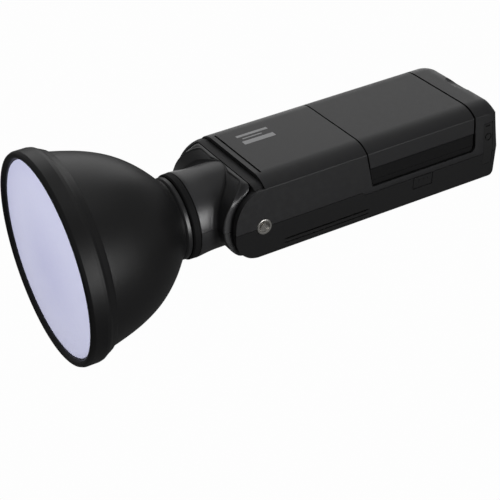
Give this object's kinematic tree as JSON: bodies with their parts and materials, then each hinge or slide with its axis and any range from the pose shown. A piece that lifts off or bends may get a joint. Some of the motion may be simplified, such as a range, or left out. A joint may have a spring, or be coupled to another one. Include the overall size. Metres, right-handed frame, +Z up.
{
  "type": "monolight strobe",
  "caption": "Compact battery monolight strobe with a tilting plug-on lamp head, round dish reflector and push-on diffuser cap.",
  "frame": {"origin": "middle of the flat underside of the body, at its mid length", "axes": "+Z up through the top of the body, -Y the way the lamp points, +X to the right seen from behind the lamp's aim at the side with the port cover"},
  "size_m": [0.124, 0.2817, 0.124],
  "materials": {
    "shell": "moulded satin charcoal, fine texture",
    "shell_dark": "moulded black, fine texture",
    "battery_shell": "moulded satin charcoal",
    "barrel_black": "moulded black, satin",
    "dish_black": "spun metal, satin black",
    "ring_black": "soft satin black",
    "diffuser_white": "milky lavender white",
    "rubber": "matte",
    "bright_nickel": "bright nickel plate",
    "steel": "satin steel",
    "brass": "satin brass",
    "circuit_board": "solder mask green",
    "capacitor_sleeve": "shrink sleeve",
    "cell_wrap": "printed film without text",
    "screen": "glossy window",
    "button_grey": "moulded dark grey",
    "button_red": "translucent red",
    "ceramic": "matte white",
    "tube_glass": "clear",
    "frosted_glass": "frosted"
  },
  "bodies": {
    "body": {"upper_shell": "shell", "lower_shell": "shell_dark", "rear_panel": "barrel_black", "lcd_window": "screen", "lcd_module": "steel", "dial_encoder": "steel", "control_board": "circuit_board", "main_board": "circuit_board", "capacitor_1": "capacitor_sleeve", "capacitor_2": "capacitor_sleeve", "hv_transformer": "brass", "battery_contacts": "brass", "usb_port": "steel", "sync_jack": "brass", "pivot_insert_right": "bright_nickel", "pivot_insert_left": "bright_nickel", "stand_socket_plate": "steel", "stand_socket_insert": "bright_nickel", "case_screw_1": "steel", "case_screw_2": "steel", "case_screw_3": "steel", "case_screw_4": "steel"},
    "battery": {"battery_cover": "battery_shell", "battery_tray": "shell_dark", "battery_cell_1": "cell_wrap", "battery_cell_2": "cell_wrap", "battery_cell_3": "cell_wrap", "battery_cell_4": "cell_wrap", "battery_contact_plate": "brass"},
    "barrel": {"tilt_barrel": "barrel_black", "hinge_bush_right": "ceramic", "hinge_bush_left": "ceramic", "plug_contacts": "brass"},
    "head": {"head_upper_shell": "shell", "head_lower_shell": "shell_dark", "neck_ring": "barrel_black", "tube_socket": "ceramic", "socket_frame": "shell_dark", "modelling_lamp_board": "ceramic", "trigger_coil": "brass"},
    "flash_tube": {"tube_base": "ceramic", "xenon_tube": "tube_glass", "tube_dome": "frosted_glass"},
    "reflector": {"reflector_dish": "dish_black", "reflector_collar": "steel"},
    "diffuser": {"diffuser_ring": "ring_black", "diffuser_disc": "diffuser_white"},
    "mode_dial": {"mode_dial": "button_grey"},
    "dial_button": {"dial_button": "button_grey"},
    "button_1": {"button_1": "button_grey"},
    "button_2": {"button_2": "button_grey"},
    "button_3": {"button_3": "button_grey"},
    "button_4": {"button_4": "button_grey"},
    "test_button": {"test_button": "button_red"},
    "power_switch": {"power_switch": "button_grey"},
    "port_cover": {"port_cover": "rubber"},
    "release_right": {"battery_release_right": "shell_dark"},
    "release_left": {"battery_release_left": "shell_dark"}
  },
  "joints": [
    {"name": "head_tilt", "type": "hinge", "parent": "body", "child": "barrel", "pos_m": [0, -0.0765, 0.0218], "axis": [-1, 0, 0], "range_deg": [0, 20]},
    {"name": "head_unplug", "type": "slide", "parent": "barrel", "child": "head", "axis": [0, -1, 0], "range_m": [0, 0.03]},
    {"name": "reflector_pull", "type": "slide", "parent": "head", "child": "reflector", "axis": [0, -1, 0], "range_m": [0, 0.05]},
    {"name": "diffuser_pull", "type": "slide", "parent": "reflector", "child": "diffuser", "axis": [0, -1, 0], "range_m": [0, 0.03]},
    {"name": "flash_tube_unplug", "type": "slide", "parent": "head", "child": "flash_tube", "axis": [0, -1, 0], "range_m": [0, 0.016]},
    {"name": "battery_lift", "type": "slide", "parent": "body", "child": "battery", "axis": [0, 0, 1], "range_m": [0, 0.06]},
    {"name": "mode_dial_turn", "type": "hinge", "parent": "body", "child": "mode_dial", "pos_m": [0.0195, 0.0855, 0.0315], "axis": [0, 1, 0], "continuous": true},
    {"name": "dial_button_press", "type": "slide", "parent": "body", "child": "dial_button", "axis": [0, -1, 0], "range_m": [0, 0.0009], "stiffness_N_per_m": 800},
    {"name": "button_1_press", "type": "slide", "parent": "body", "child": "button_1", "axis": [0, -1, 0], "range_m": [0, 0.0008], "stiffness_N_per_m": 600},
    {"name": "button_2_press", "type": "slide", "parent": "body", "child": "button_2", "axis": [0, -1, 0], "range_m": [0, 0.0008], "stiffness_N_per_m": 600},
    {"name": "button_3_press", "type": "slide", "parent": "body", "child": "button_3", "axis": [0, -1, 0], "range_m": [0, 0.0008], "stiffness_N_per_m": 600},
    {"name": "button_4_press", "type": "slide", "parent": "body", "child": "button_4", "axis": [0, -1, 0], "range_m": [0, 0.0008], "stiffness_N_per_m": 600},
    {"name": "test_button_press", "type": "slide", "parent": "body", "child": "test_button", "axis": [0, -1, 0], "range_m": [0, 0.0008], "stiffness_N_per_m": 600},
    {"name": "power_switch_slide", "type": "slide", "parent": "body", "child": "power_switch", "axis": [1, 0, 0], "range_m": [0, 0.002]},
    {"name": "port_cover_open", "type": "hinge", "parent": "body", "child": "port_cover", "pos_m": [0.0375, 0.08145, 0.024], "axis": [0, 0, 1], "range_deg": [0, 110]},
    {"name": "release_right_press", "type": "slide", "parent": "body", "child": "release_right", "axis": [-1, 0, 0], "range_m": [0, 0.0015], "stiffness_N_per_m": 900},
    {"name": "release_left_press", "type": "slide", "parent": "body", "child": "release_left", "axis": [1, 0, 0], "range_m": [0, 0.0015], "stiffness_N_per_m": 900}
  ]
}
